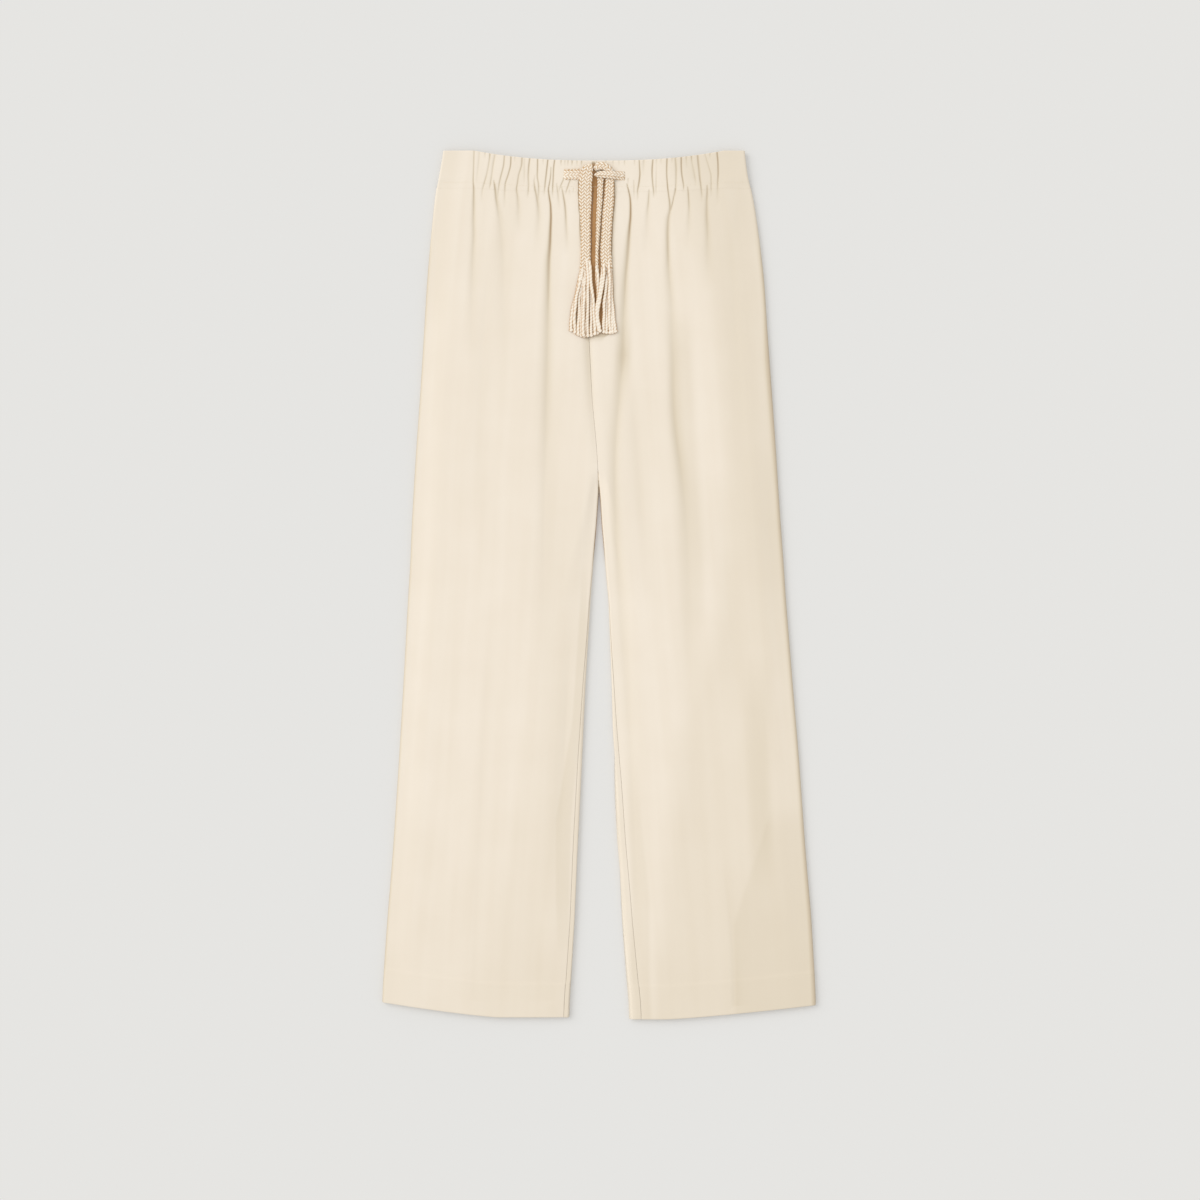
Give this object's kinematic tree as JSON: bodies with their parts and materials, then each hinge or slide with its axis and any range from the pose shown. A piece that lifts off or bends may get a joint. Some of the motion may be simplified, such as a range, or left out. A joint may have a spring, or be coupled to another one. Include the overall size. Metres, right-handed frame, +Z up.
{
  "type": "wide-leg trousers",
  "caption": "Wide-leg pull-on trousers laid flat, with a gathered elastic waist, turned hems and a tied flat drawstring that ends in tassels.",
  "frame": {"origin": "middle of the garment's footprint on the surface that it lies on", "axes": "+Y from the hems to the waist, +X to the right of someone who looks down at the front, +Z up, out of the front"},
  "size_m": [0.5208, 1.0428, 0.0141],
  "materials": {
    "cloth": "matte cream plain weave with fine slubs",
    "braid": "matte warm beige flat cotton braid"
  },
  "bodies": {
    "root": {"left_front": "cloth", "right_front": "cloth", "left_back": "cloth", "right_back": "cloth", "front_waist_casing": "cloth", "back_waist_casing": "cloth", "drawstring_left_run": "braid", "drawstring_left_tail": "braid", "drawstring_inner_tail": "braid", "drawstring_right_tail": "braid", "drawstring_bar": "braid", "drawstring_wrap": "braid", "tassel_left": "braid", "tassel_inner": "braid", "tassel_right": "braid"}
  },
  "joints": []
}
